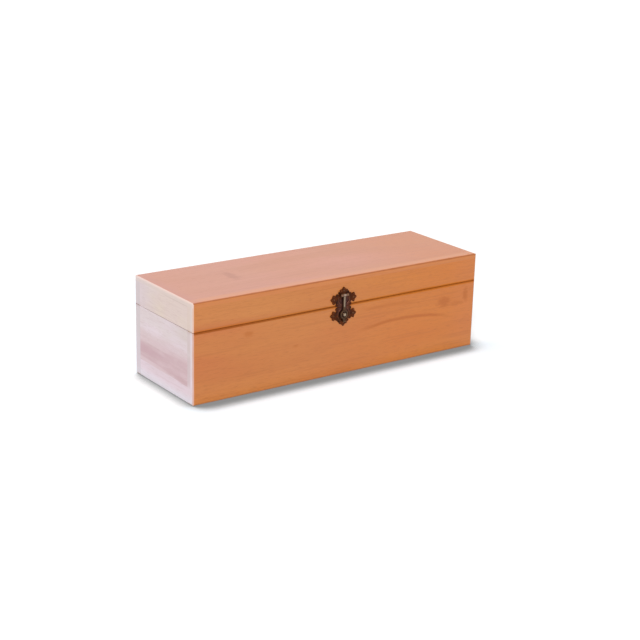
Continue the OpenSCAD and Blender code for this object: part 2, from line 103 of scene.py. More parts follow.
# %% Values that nodes give
class Value:
    """What one output of a node gives. Arithmetic on it adds nodes to its graph."""

    def __init__(self, graph, socket):
        self.graph = graph
        self.socket = socket

    def __add__(self, other):
        return self.graph.sum("ADD", self, other)

    def __radd__(self, other):
        return self.graph.sum("ADD", other, self)

    def __sub__(self, other):
        return self.graph.sum("SUBTRACT", self, other)

    def __rsub__(self, other):
        return self.graph.sum("SUBTRACT", other, self)

    def __mul__(self, other):
        return self.graph.sum("MULTIPLY", self, other)

    def __truediv__(self, other):
        return self.graph.sum("DIVIDE", self, other)

    def __pow__(self, other):
        return self.graph.sum("POWER", self, other)

    def __abs__(self):
        return self.graph.sum("ABSOLUTE", self)


print("a node's output takes part in arithmetic")

# %% [markdown]
# Finishes, the floor, the room and the nails are all graphs, so they share these methods. The most used is `fade`:
# it turns any measure into a share between 0 and 1 with soft ends, as a brush would.

# %% A graph with a short method for each kind of node
class Graph:
    """A tree of nodes."""

    def __init__(self, tree):
        self.tree = tree

    def feed(self, socket, value):
        """Links value to the socket if a node gives it, and otherwise sets it."""
        if isinstance(value, Value):
            self.tree.links.new(value.socket, socket)
        else:
            socket.default_value = value

    def node(self, kind, settings=(), **inputs):
        """A new node. Its inputs go by name, as in Radius_Top=1.0, or by number, as in _0=1.0."""
        node = self.tree.nodes.new(kind)
        for name, value in dict(settings).items():
            setattr(node, name, value)
        for name, value in inputs.items():
            self.feed(node.inputs[int(name[1:]) if name[0] == "_" else name.replace("_", " ")], value)
        return node

    def value(self, kind, settings=(), output=0, **inputs):
        """What a new node gives, at its first output unless another is named."""
        return Value(self, self.node(kind, settings, **inputs).outputs[output])

    def sum(self, operation, *values):
        """One step of arithmetic, such as ADD or FLOOR."""
        inputs = {f"_{number}": value for number, value in enumerate(values)}
        return self.value("ShaderNodeMath", {"operation": operation}, **inputs)

    def largest(self, first, *others):
        for other in others:
            first = self.sum("MAXIMUM", first, other)
        return first

    def smallest(self, first, *others):
        for other in others:
            first = self.sum("MINIMUM", first, other)
        return first

    def fade(self, value, start, end, low=0.0, high=1.0):
        """Low where value is at start and high where it is at end, with a smooth passage between."""
        return self.value("ShaderNodeMapRange", {"interpolation_type": "SMOOTHSTEP"}, Value=value,
                          From_Min=start, From_Max=end, To_Min=low, To_Max=high)

    def near(self, value, place, reach, core):
        """1 where value is within core of a place, and 0 where it is further away than reach."""
        return self.fade(abs(value - place), reach, core)

    def mix(self, share, first, second):
        """The first colour where share is 0, and the second where it is 1."""
        return self.value("ShaderNodeMix", {"data_type": "RGBA"}, output=2, _0=share, _6=first, _7=second)

    def vector(self, x, y, z):
        return self.value("ShaderNodeCombineXYZ", X=x, Y=y, Z=z)

    def parts_of(self, vector):
        return [Value(self, socket) for socket in self.node("ShaderNodeSeparateXYZ", _0=vector).outputs[:3]]


print("a graph has", len([name for name in vars(Graph) if name[0] != "_"]), "methods")

# %% [markdown]
# A finish is the graph of one material. Every pattern in it starts from `place`, the point on the box in metres,
# so that it sits in the wood and moves with it when the lid opens.

# %% A finish
def colour(red, green, blue):
    """A colour in steps from 0 to 255, turned into the linear values that Blender mixes."""
    def linear(c):
        c = c / 255
        return c / 12.92 if c <= 0.04045 else ((c + 0.055) / 1.055) ** 2.4
    return (linear(red), linear(green), linear(blue), 1)


class Finish(Graph):
    """One material."""

    def __init__(self, name):
        self.material = bpy.data.materials.new(name)
        self.material.use_nodes = True
        super().__init__(self.material.node_tree)
        self.shader = self.tree.nodes["Principled BSDF"]
        where = self.node("ShaderNodeTexCoord").outputs
        self.place = Value(self, where["Object"])
        self.x, self.y, self.z = self.parts_of(self.place)
        self.nx, self.ny, self.nz = self.parts_of(Value(self, where["Normal"]))

    def noise(self, stretch, detail=2.0, shift=(0, 0, 0)):
        """Cloudy noise from 0 to 1, with that many clouds to a metre along each axis."""
        moved = self.value("ShaderNodeVectorMath", {"operation": "ADD"}, _0=self.place, _1=shift)
        scaled = self.value("ShaderNodeVectorMath", {"operation": "MULTIPLY"}, _0=moved, _1=stretch)
        return self.value("ShaderNodeTexNoise", Vector=scaled, Scale=1, Detail=detail)

    def relief(self, height_map, depth):
        """A fine relief, depth metres from its lowest to its highest point."""
        bump = self.value("ShaderNodeBump", Height=height_map, Strength=1, Distance=depth)
        self.feed(self.shader.inputs["Normal"], bump)

    def surface(self, **values):
        """Sets or links the shader's own sockets, such as Roughness or Metallic."""
        for name, value in values.items():
            self.feed(self.shader.inputs[name.replace("_", " ")], value)
        return self.material


def put_on(material, *names):
    """Gives boards or metal parts of the model this finish."""
    for name in names:
        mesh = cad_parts[name].data
        mesh.materials.clear()
        mesh.materials.append(material)
    print(material.name, "is on", ", ".join(names))


print("a middle grey of 128 is", [round(v, 3) for v in colour(128, 128, 128)], "to Blender")

# %% [markdown]
# ## Wood, from the tree outwards
# A tree grows a ring each year, light in spring and darker in late summer. A board is a slice through those rings:
# its face shows them as long arches, its end as arcs. So one rule serves every board. The distance from the tree's
# middle line, bent a little by a slow noise, is cut into rings. Fibres and pores are noise drawn out along the board.

# %% Rings, fibres and pores
def rings(wood, along, pith, width, wander):
    """How dark the ring is at each point, from 0 in spring wood to 1 in late wood. Along is the grain, x or y."""
    across = (wood.y if along == "x" else wood.x) - pith[0]
    up_down = wood.z - pith[1]
    slow = (2.6, 9, 11) if along == "x" else (9, 5, 11)
    bend = (wood.noise(slow, detail=1.0) - 0.5) * wander
    radius = wood.sum("SQRT", across ** 2.0 + up_down ** 2.0)
    turn = wood.sum("FRACT", (radius + bend) / width)
    return wood.fade(turn, 0.15, 0.85) * wood.fade(turn, 1.0, 0.9)


def drawn_out(along, lengthwise, across):
    """How often a noise changes in a metre, where it is drawn out along the grain."""
    return (lengthwise, across, across) if along == "x" else (across, lengthwise, across)


def fibres(wood, along):
    """Fine threads along the board, from 0 to 1."""
    fine = wood.noise(drawn_out(along, 16, 700))
    coarse = wood.noise(drawn_out(along, 5, 140))
    return fine * 0.55 + coarse * 0.45


def dark_fibres(wood, threads, full=0.75):
    """Only the darker threads, which take more stain."""
    return wood.fade(threads, 0.42, full)


def pores(wood, along):
    """Short dark dashes along the grain, which only show close up."""
    dashes = wood.fade(wood.noise(drawn_out(along, 110, 1700), detail=1.0, shift=(1, 7, 3)), 0.56, 0.68)
    streaks = wood.fade(wood.noise(drawn_out(along, 11, 420), detail=1.0, shift=(4, 1, 9)), 0.58, 0.70)
    return wood.largest(dashes, streaks * 0.6)


print("rings, fibres and pores are ready for every wood below")

# %% [markdown]
# Painted highlights and stain follow the box's edges, and knots are ovals. The nearest edge of a box is found without
# any mesh: of a point's three distances to the outer faces, the middle one is the distance to the edge.

# %% Edges, inside and oval marks
def edge_distance(wood):
    """How far a point on the box is from the nearest edge of the whole box."""
    a, b, c = (half - abs(part - centre) for part, centre, half in
               ((wood.x, 0, half_length), (wood.y, 0, half_width), (wood.z, middle.z, height / 2)))
    return a + b + c - wood.smallest(a, b, c) - wood.largest(a, b, c)


def arris_of(wood, outer, inner):
    """1 on the sanded edges of the box and 0 further in than outer, with a slightly wavy border."""
    waviness = wood.noise((60, 60, 60)) * 0.0008
    return wood.fade(edge_distance(wood) + waviness, outer, inner)


def inside_of(wood, part, half, depth):
    """1 where part is more than depth in from the outer face, which is where a board is left raw."""
    return wood.fade(abs(part), half - depth, half - depth - 0.001)


def spot(wood, centre, size, axes="xz"):
    """1 in the middle of an oval mark and 0 outside it, with a ragged edge."""
    a, b = (((getattr(wood, axis) - at) / half) ** 2.0 for axis, at, half in zip(axes, centre, size))
    ragged = (wood.noise((160, 160, 400)) - 0.5) * 0.9
    return wood.fade(wood.sum("SQRT", a + b) + ragged, 1.0, 0.25)


print("edges are measured from a box of", [round(v * 2, 4) for v in (half_length, half_width, height / 2)], "metres")

# %% [markdown]
# ### Wood with no stain, and the pale ends
# Two woods show bare. Planed pine lines the box. The sawn ends of the stained boards and the whole end boards are a
# paler wood that has turned lilac at the foot and creamy on the lid, so both share one rule for their tone and the
# boards look cut from one tree. Part of that paleness is painted light: the strong light on the box's ends is painted
# into their colour.

# %% Raw and pale wood
def raw_wood_colour(wood, along, pith):
    """The colour of planed wood with no stain."""
    grain = rings(wood, along, pith, width=0.0046, wander=0.02) * 0.5 + fibres(wood, along) * 0.5
    return wood.mix(grain, colour(222, 190, 152), colour(196, 158, 116))


def pale_tone_with_painted_light(wood):
    """Both ends' pale tone, partly wood and partly painted light: lilac at the foot, greyer above, creamy on the lid.
    """
    foot = wood.mix(wood.fade(wood.z, 0.012, 0.050), colour(230, 211, 220), colour(228, 213, 215))
    clouds = wood.fade(wood.noise((10, 20, 55), shift=(5, 2, 1)), 0.45, 0.62)
    foot = wood.mix(clouds * 0.45, foot, colour(235, 218, 230))
    foot = wood.mix(wood.fade(wood.z, 0.012, 0.003), foot, colour(232, 225, 234))
    lid = wood.mix(wood.fade(wood.noise((8, 30, 40)), 0.35, 0.65), colour(230, 212, 197), colour(229, 209, 201))
    to_back = wood.fade(wood.y + wood.noise((10, 20, 60)) * 0.03, 0.012, 0.060)
    lid = wood.mix(to_back, lid, colour(226, 209, 212))
    return wood.mix(wood.fade(wood.z, seam - 0.0006, seam + 0.0006), foot, lid)


def end_grain_with_painted_light(wood):
    """The colour of a sawn end: the pale tone, partly painted light, with its pores cut open."""
    open_pores = wood.noise((90, 900, 900), detail=3.0) * 0.5 + wood.noise((20, 60, 120)) * 0.5
    return wood.mix(wood.fade(open_pores, 0.3, 0.75) * 0.35, pale_tone_with_painted_light(wood), colour(216, 194, 194))


print("the pale wood changes tone at the seam, at", round(seam, 4), "metres")

# %% [markdown]
# ### The stained boards
# The front and the back are stained a warm orange brown and have a satin varnish. The stain stops at the inside and
# at the sawn ends. Its ground is two close browns in soft clouds, yellower towards the right, where the stain was
# rubbed thinner, and paler at the left of the lid. The paler foot is painted light that lifts the shade near the
# floor.

# %% Ground of the stain
stain = Finish("orange_stain")
clouds = stain.fade(stain.noise((7, 30, 24), shift=(3, 0, 0)), 0.35, 0.65)
tone = stain.mix(clouds, colour(207, 127, 59), colour(205, 118, 56))
right_tone = stain.mix(stain.fade(stain.x, 0.13, 0.17), colour(218, 127, 34), colour(218, 127, 52))
tone = stain.mix(stain.fade(stain.x, -0.05, 0.12) * 0.62, tone, right_tone)
# painted light: the foot is made paler to lift the shade near the floor
tone = stain.mix(stain.fade(stain.z, 0.024, 0.006) * 0.3, tone, colour(227, 148, 76))
left_of_lid = stain.fade(stain.z, seam, seam + 0.010) * stain.fade(stain.x, -0.03, -0.12)
tone = stain.mix(left_of_lid * 0.5, tone, colour(214, 142, 70))
print("the ground of the stain has", len(stain.tree.nodes), "nodes")

# %% [markdown]
# The grain is quiet. Late wood, fibres and pores each take a little more stain, so each is a weak mix towards a
# darker brown.

# %% Grain of the stained boards
stained_pith = (0.16, 0.03)
ring_width = 0.0052
stain_rings = rings(stain, "x", stained_pith, ring_width, wander=0.034)
stain_fibres = fibres(stain, "x")
tone = stain.mix(stain_rings * 0.1, tone, colour(184, 98, 42))
tone = stain.mix(dark_fibres(stain, stain_fibres) * 0.2, tone, colour(186, 102, 46))
tone = stain.mix(pores(stain, "x") * 0.3, tone, colour(170, 88, 34))
print("the stained boards' rings are", round(ring_width * 1000, 1), "mm apart")

# %% [markdown]
# The front board alone has a few marks that make it this board: two arches of late wood, a knot near the right end
# and some small dashes. An arch is a parabola, and how dark a point is follows from its distance to the curve. The
# other marks are ovals, each given by its centre and half its size, as x and z, and by its strength.

# %% Marks of the front board
def arch(wood, top, bend, wave, reach, from_left, from_right):
    """A line of late wood that rises to its top, given as x and z, and sinks again. It fades at both ends."""
    top_x, top_z = top
    line = top_z - (wood.x - top_x) ** 2.0 * bend
    dark = wood.fade(abs(wood.z - line + wave), reach, 0.0003)
    return dark * (wood.fade(wood.x, *from_left) * wood.fade(wood.x, *from_right))


wave = (stain.noise((40, 1, 1), detail=1.0) - 0.5) * 0.0016
long_arch = arch(stain, top=(0.074, 0.0472), bend=1.75, wave=wave, reach=0.0029,
                 from_left=(0.015, 0.045), from_right=(0.150, 0.115))
short_arch = arch(stain, top=(0.040, 0.0646), bend=0.70, wave=wave, reach=0.0032,
                  from_left=(0.015, 0.040), from_right=(0.100, 0.080))
marks = stain.largest(long_arch, short_arch * 0.5) * 0.8

front_marks = {
    "knot": ((0.1330, 0.0560), (0.0130, 0.0085), 0.75),
    "tail of the knot": ((0.1500, 0.0520), (0.0150, 0.0045), 0.45),
    "upright streak": ((0.1622, 0.0600), (0.0052, 0.0115), 0.70),
    "smudge at the left": ((-0.1124, 0.0624), (0.0080, 0.0040), 0.55),
    "low dash": ((-0.0571, 0.0402), (0.0050, 0.0020), 0.40),
    "dash under the seam": ((0.0980, 0.0608), (0.0030, 0.0013), 0.35),
}
for centre, size, strength in front_marks.values():
    marks = stain.largest(marks, spot(stain, centre, size) * strength)
front_side = stain.fade(stain.y, 0.0, -0.01)
tone = stain.mix(marks * front_side, tone, colour(188, 98, 12))
print("marks on the front: two arches,", ", ".join(front_marks))

# %% [markdown]
# Where two faces meet on the lid, a thin lighter line along the arris is a painted highlight. Beside the seam a
# darker, matt band is painted shade of the gap and its rounded edges, and it sits a little lower at the left.

# %% Arrises and seam of the stained boards
on_lid = stain.fade(stain.z, seam, seam + 0.001)
arris = arris_of(stain, outer=0.0022, inner=0.0010)
# painted highlight along the lid's arrises
tone = stain.mix(arris * (on_lid * 0.4), tone, colour(240, 190, 156))
# painted shade beside the seam, a little lower at the left
shade_lower_at_left = stain.fade(stain.x, -0.01, -0.12) * 0.0007
beside_seam = stain.fade(abs(stain.z - seam + shade_lower_at_left), 0.0016, 0.0006)
seam_share = 0.76 - stain.fade(stain.x, 0.0, 0.07) * 0.32
tone = stain.mix(beside_seam * seam_share, tone, colour(156, 84, 36))
glossy = 1.0 - stain.near(stain.z, seam, reach=0.0026, core=0.0012)
print("the seam's dark line is at", round(seam * 1000, 1), "mm")

# %% [markdown]
# The stained boards run the full length of the box, so their sawn ends show as two pale strips on each end of it;
# part of their paleness is painted light. The ends are found by the direction that the surface faces, and the raw
# inside by its depth. The front strip is darker where the heartwood lies, and its arris is a soft pink painted
# highlight.

# %% Sawn ends and inside of the stained boards
inside = inside_of(stain, stain.y, half_width, depth=0.0026)
tone = stain.mix(inside, tone, raw_wood_colour(stain, "x", stained_pith))
back_strip = stain.fade(stain.y, 0.0, 0.01)
end_tone = stain.mix(back_strip * 0.4, end_grain_with_painted_light(stain), colour(196, 186, 190))
heartwood = stain.fade(stain.z, 0.014, 0.022) * stain.fade(stain.z, 0.056, 0.044)
above_heart = stain.fade(stain.z, 0.040, 0.056)
front_strip = stain.largest(heartwood * 0.7, above_heart * 0.55)
front_strip = front_strip * stain.fade(stain.y, -half_width + 0.0030, -half_width + 0.0060)
front_strip = front_strip * stain.fade(stain.y, 0.01, 0.0)
strip_tone = stain.mix(above_heart, colour(204, 180, 182), colour(204, 182, 174))
end_tone = stain.mix(front_strip, end_tone, stain.mix(on_lid, strip_tone, colour(222, 198, 184)))
# painted highlight: a soft pink line along the arris of the sawn ends
arris_highlight = stain.mix(on_lid, colour(210, 164, 146), colour(224, 182, 160))
# the sawn ends take the pale tone, which is partly painted light
sawn_end = stain.fade(abs(stain.nx), 0.3, 0.6)
tone = stain.mix(sawn_end, tone, stain.mix(arris * 0.95, end_tone, arris_highlight))
stain.relief(stain_rings * 0.5 + stain_fibres * 0.5, depth=0.00008)
orange_stain = stain.surface(Base_Color=tone, Roughness=0.36, Specular_IOR_Level=glossy * 0.5,
                             Coat_Weight=glossy * 0.15, Coat_Roughness=0.2)
put_on(orange_stain, "front_board", "back_board", "lid_front_rail", "lid_back_rail")

# %% [markdown]
# ### The top panel
# The panel is stained like the front, but its face looks pinker and paler than the front because a varnished board
# seen at a low angle mirrors the bright room. The shader gives part of that; the rest is painted reflection, a pinker
# and paler ground than the front's. The stain is pinker at the left end and browner towards the right, and one faint
# knot shows.

# %% Face of the top panel
panel = Finish("top_stain")
panel_pith = (-0.02, -0.12)
panel_rings = rings(panel, "x", panel_pith, width=0.0060, wander=0.030)
panel_fibres = fibres(panel, "x")
clouds = panel.fade(panel.noise((6, 22, 10), shift=(9, 0, 0)), 0.3, 0.7)
# painted reflection: the ground is pinker and paler than the front's
tone = panel.mix(clouds, colour(212, 138, 112), colour(206, 134, 98))
tone = panel.mix(panel.fade(panel.x, -0.02, -0.10) * 0.5, tone, colour(209, 144, 124))
right_tone = panel.mix(panel.fade(panel.y, 0.01, -0.05), colour(208, 124, 66), colour(209, 120, 48))
tone = panel.mix(panel.fade(panel.x, 0.02, 0.14) * 0.75, tone, right_tone)
tone = panel.mix(panel_rings * 0.12, tone, colour(186, 112, 76))
tone = panel.mix(dark_fibres(panel, panel_fibres) * 0.16, tone, colour(190, 118, 84))
tone = panel.mix(pores(panel, "x") * 0.28, tone, colour(172, 98, 68))
# painted highlight: a paler orange strip along the rounded front edge
front_edge_highlight = panel.fade(panel.y, -half_width + 0.014, -half_width + 0.006)
tone = panel.mix(front_edge_highlight * 0.7, tone, colour(222, 146, 98))
faint_knot = spot(panel, centre=(-0.0945, 0.0040), size=(0.0090, 0.0190), axes="xy")
tone = panel.mix(faint_knot * 0.42, tone, colour(168, 96, 72))
print("the panel's face has", len(panel.tree.nodes), "nodes")

# %% [markdown]
# The panel's long edges are stained like the front, its short edges are sawn ends, and its underside, the ceiling of
# the lid, is raw. Each is found by the direction that the surface faces. The long arrises are dark and matt.

# %% Edges and underside of the top panel
edge_tone = panel.mix(dark_fibres(panel, panel_fibres, full=0.8), colour(211, 129, 66), colour(192, 108, 50))
tone = panel.mix(panel.fade(abs(panel.ny), 0.5, 0.8), tone, edge_tone)
beside_end = panel.fade(panel.x, -half_length + 0.016, -half_length) * panel.fade(panel.nz, 0.6, 0.9)
tone = panel.mix(beside_end * 0.5, tone, colour(200, 134, 122))
arris = arris_of(panel, outer=0.0024, inner=0.0008)
long_arrises = arris * panel.fade(abs(panel.y), half_width - 0.0022, half_width - 0.0012)
tone = panel.mix(long_arrises * 0.9, tone, colour(158, 84, 40))
# the sawn ends' pale tone is partly painted light
end_tone = panel.mix(0.5, end_grain_with_painted_light(panel), colour(224, 203, 192))
# painted highlight along the arrises of the sawn ends
end_tone = panel.mix(arris * 0.6, end_tone, colour(238, 204, 192))
sawn_end = panel.fade(abs(panel.nx), 0.3, 0.6)
tone = panel.mix(sawn_end, tone, end_tone)
underside = panel.fade(panel.nz, -0.5, -0.8)
tone = panel.mix(underside, tone, raw_wood_colour(panel, "x", panel_pith))
panel.relief(panel_rings * 0.5 + panel_fibres * 0.5, depth=0.00008)
top_stain = panel.surface(Base_Color=tone, Roughness=0.36 + long_arrises * 0.4, Coat_Weight=0.15, Coat_Roughness=0.2)
put_on(top_stain, "top_panel")

# %% [markdown]
# ### The end boards
# The two ends of the box are not stained. They are a pale, cool wood whose grain runs level from back to front, and
# part of their paleness is painted light that stands for the strong light on them. The lid's part is creamier than
# the base's, and across the base runs a band of pink heartwood with darker threads that sinks a little towards the
# front. The band is a range of heights, so it is written as a fade on the height, and a drawn-out noise added to the
# height makes its edges ragged.

# %% Heartwood of the end boards
ends = Finish("pale_ends")
ragged = (ends.noise((30, 16, 260), detail=3.0) - 0.5) * 0.014
higher_on_right = ends.fade(ends.x, -0.01, 0.01) * 0.009
level = ends.z + ragged + higher_on_right
to_front = ends.fade(ends.y, 0.030, -0.040)
band = ends.fade(level, 0.0155, 0.0205) * ends.fade(level, 0.060, 0.038)
heart_foot = 0.0230 - to_front * 0.0065
heart_top = 0.0360 + to_front * 0.0060
heart = ends.fade(level - heart_foot, -0.0015, 0.0015) * ends.fade(level - heart_top, 0.0035, -0.0035)
heart = heart * (1.0 - to_front * 0.25)
mottle = ends.fade(ends.noise((90, 60, 180), shift=(0, 4, 0)), 0.3, 0.62)
thread = ends.near(level, 0.0300, reach=0.0060, core=0.0010) * ends.fade(ends.y, -0.01, 0.02)
low_thread = ends.near(level, 0.0200, reach=0.0040, core=0.0005) * ends.fade(ends.y, 0.0, -0.03)
pale_cloud = spot(ends, centre=(0.022, 0.054), size=(0.032, 0.0085), axes="yz")
# the pale ground under the heartwood is partly painted light
tone = ends.mix(pale_cloud * 0.4, pale_tone_with_painted_light(ends), colour(248, 232, 246))
tone = ends.mix(band * 0.8, tone, colour(219, 191, 195))
tone = ends.mix(heart * (0.45 + mottle * 0.5), tone, colour(207, 173, 179))
tone = ends.mix(thread * 0.7, tone, colour(202, 164, 172))
tone = ends.mix(low_thread * 0.6, tone, colour(200, 164, 170))
print("the heartwood has", len(ends.tree.nodes), "nodes")

# %% [markdown]
# Grain lies over the heartwood. The joint lines darken a little towards the front: the seam, the line under the
# panel, and the corner below the seam, where hands close the box.

# %% Grain, joints and inside of the end boards
end_pith = (0.0, -0.09)
end_rings = rings(ends, "y", end_pith, width=0.0062, wander=0.024)
end_fibres = fibres(ends, "y")
tone = ends.mix(end_rings * 0.08, tone, colour(206, 178, 172))
tone = ends.mix(dark_fibres(ends, end_fibres) * 0.14, tone, colour(210, 184, 182))
tone = ends.mix(pores(ends, "y") * 0.22, tone, colour(188, 160, 158))
beside_seam = ends.near(ends.z, seam, reach=0.0014, core=0.0003)
tone = ends.mix(beside_seam * (ends.fade(ends.y, 0.0, -0.05) * 0.25), tone, colour(190, 170, 164))
under_panel = ends.fade(panel_low.z - ends.z, 0.0016, 0.0004)
tone = ends.mix(under_panel * (ends.fade(ends.y, 0.02, -0.02) * 0.45), tone, colour(202, 180, 170))
below_seam = ends.fade(ends.z, 0.054, 0.066) * ends.fade(ends.z, seam, seam - 0.001)
front_corner = below_seam * ends.fade(ends.y, 0.0, -0.045)
tone = ends.mix(front_corner * 0.4, tone, colour(206, 192, 172))
inside = inside_of(ends, ends.x, half_length, depth=0.0022)
tone = ends.mix(inside, tone, raw_wood_colour(ends, "y", end_pith))
ends.relief(end_rings * 0.4 + end_fibres * 0.6, depth=0.0001)
pale_ends = ends.surface(Base_Color=tone, Roughness=0.48, Coat_Weight=0.05, Coat_Roughness=0.3)
put_on(pale_ends, "left_end_board", "right_end_board", "lid_left_rail", "lid_right_rail")

# %% [markdown]
# ### The raw inner wood
# The bottom panel and the two cradles that carry the bottle are planed and left raw. They only show when the lid
# is open. The panel's grain runs along the box, and the cradles stand across it.

# %% Raw wood inside
def raw_wood(name, along, pith):
    """A planed, unfinished board."""
    wood = Finish(name)
    wood.relief(fibres(wood, along), depth=0.00012)
    return wood.surface(Base_Color=raw_wood_colour(wood, along, pith), Roughness=0.68)


put_on(raw_wood("raw_panel_wood", "x", (0.01, -0.14)), "bottom_panel")
put_on(raw_wood("raw_cradle_wood", "y", (0.02, -0.07)), "bottle_cradle", "neck_cradle")

# %% [markdown]
# ## Bronze
# The clasp and the hinges are thin bronze that was darkened in a bath and then rubbed. Three things set the colour
# of a point. How far it stands out from the board tells how much of the dark skin was rubbed off. How far out along
# the plate it lies tells how thin and red the skin is, because the tips of the lobes are handled most. That red
# belongs to the clasp alone, so it has died out 60 mm from the middle, before the hinges begin. A cloudy noise
# breaks up all of it, so that no passage is even.

# %% Bronze
clasp_middle = 0.07235
hasp_pin_height = 0.0848
beyond_clasp = (0.06, 0.03)


def bronze(name, dark, red, rubbed, low, high, rub, roughness):
    """Antiqued bronze, rubbed where it stands from low to high metres off the board: the finish, colour and gloss."""
    metal = Finish(name)
    blotch = metal.noise((260, 260, 260), detail=5.0)
    fine = metal.noise((1100, 1100, 1100))
    sideways = metal.fade(abs(metal.x), 0.0085, 0.0135)
    endways = metal.fade(abs(metal.z - clasp_middle), 0.0145, 0.0185)
    lobes = metal.largest(sideways, endways) * metal.fade(abs(metal.x), *beyond_clasp)
    redder = metal.fade(blotch, 0.34, 0.78) * 0.6 + lobes * 0.3
    ragged = (fine - 0.5) * 0.0004
    stands_out = abs(metal.y) - half_width
    proud = metal.fade(stands_out + ragged, low, high) * rub
    tone = metal.mix(proud, metal.mix(redder, dark, red), rubbed)
    metal.relief(blotch * 0.7 + fine * 0.3, depth=0.00006)
    return metal, tone, roughness + blotch * 0.2 - proud * 0.12


def finished(metal, tone, rough):
    """Bronze is a little less than a full metal, because its skin is an oxide."""
    return metal.surface(Base_Color=tone, Roughness=rough, Metallic=0.85)


fasteners = bronze("fastener_bronze", dark=colour(68, 42, 26), red=colour(116, 62, 26), rubbed=colour(156, 124, 90),
                   low=0.0010, high=0.0022, rub=0.6, roughness=0.3)
fastener_bronze = finished(*fasteners)
put_on(fastener_bronze, "catch_plate_nails", "hasp_plate_nails", "hasp_pin", "hinge_base_screws", "hinge_lid_screws",
       "left_hinge_pin", "right_hinge_pin")

# %% [markdown]
# ### The plates and hinge leaves
# The plates are the darkest bronze. Their middle has a purplish painted reflection, their side lobes are redder, and
# the knuckles round the hasp's pin carry a pale painted highlight. The hinge leaves at the back are handled less, so
# they are calmer.

# %% Plates and hinge leaves
plates, tone, rough = bronze("antiqued_bronze", dark=colour(40, 17, 6), red=colour(116, 52, 6),
                             rubbed=colour(150, 98, 62), low=0.0009, high=0.0015, rub=0.5, roughness=0.34)
# painted highlight on the knuckles round the hasp's pin
knuckle_highlight = plates.near(plates.z, hasp_pin_height, reach=0.0016, core=0.0008)
knuckle_highlight = knuckle_highlight * plates.fade(plates.y, -half_width - 0.0012, -half_width - 0.0020)
tone = plates.mix(knuckle_highlight * 0.36, tone, colour(156, 130, 110))
# painted reflection: a purplish patch in the middle of the plates
middle_reflection = spot(plates, centre=(0.0, clasp_middle), size=(0.0105, 0.0155))
tone = plates.mix(middle_reflection * 0.4, tone, colour(118, 76, 74))
tips = plates.fade(abs(plates.x), 0.0075, 0.0110) * plates.fade(abs(plates.x), *beyond_clasp)
tone = plates.mix(tips * 0.45, tone, colour(76, 29, 0))
hinge_leaves = plates.fade(abs(plates.x), 0.05, 0.06)
tone = plates.mix(hinge_leaves * 0.5, tone, colour(66, 36, 20))
put_on(finished(plates, tone, rough), "catch_plate", "hasp_plate", "left_hinge_base_leaf", "right_hinge_base_leaf",
       "left_hinge_lid_leaf", "right_hinge_lid_leaf")

# %% [markdown]
# ### Painted highlights on the hasp and the knob
# The ridge on the hasp's upper half and the barrel round its pin carry painted highlights where the light catches
# them. The knob's pale crown is partly rubbed by the eye that passes over it and partly a painted highlight. The
# rest of both is plain dark bronze.

# %% Hasp and knob
hasp, tone, rough = bronze("hasp_bronze", dark=colour(64, 46, 34), red=colour(98, 60, 34), rubbed=colour(118, 92, 68),
                           low=0.0022, high=0.0030, rub=0.4, roughness=0.3)
# painted highlight along the ridge's upper half
ridge_highlight = hasp.fade(abs(hasp.x), 0.0011, 0.0005)
upper_half = hasp.fade(hasp.z, 0.0715, 0.0735) * hasp.fade(hasp.y, -half_width - 0.0016, -half_width - 0.0022)
tone = hasp.mix(ridge_highlight * upper_half * 0.85, tone, colour(168, 148, 128))
# painted highlight on the barrel round the pin
barrel_highlight = hasp.near(hasp.z, hasp_pin_height, reach=0.0016, core=0.0008)
tone = hasp.mix(barrel_highlight * 0.6, tone, colour(170, 142, 124))
put_on(finished(hasp, tone, rough), "hasp_arm")

# the knob's pale crown is partly wear and partly a painted highlight
knob = bronze("knob_bronze", dark=colour(60, 44, 32), red=colour(84, 58, 38), rubbed=colour(190, 170, 146),
              low=0.0034, high=0.0041, rub=0.75, roughness=0.24)
put_on(finished(*knob), "catch_knob")

# %% [markdown]
# ## Rows of small fasteners
# The model's nails and screws are plain. Made ones differ from each other, which suits Geometry Nodes: one fastener
# is built from named inputs, copied to places worked out from its index, and each copy is given a turn of its own
# from a fixed seed. The result is turned into a plain mesh, so nothing stays live.

# %% A helper for patterns
socket_kinds = {bpy.types.Material: "NodeSocketMaterial", int: "NodeSocketInt", float: "NodeSocketFloat"}


def corner(mesh, pick):
    """The lowest or highest corner of a mesh, in millimetres."""
    return [round(pick(v.co[axis] for v in mesh.vertices) * 1000, 2) for axis in range(3)]


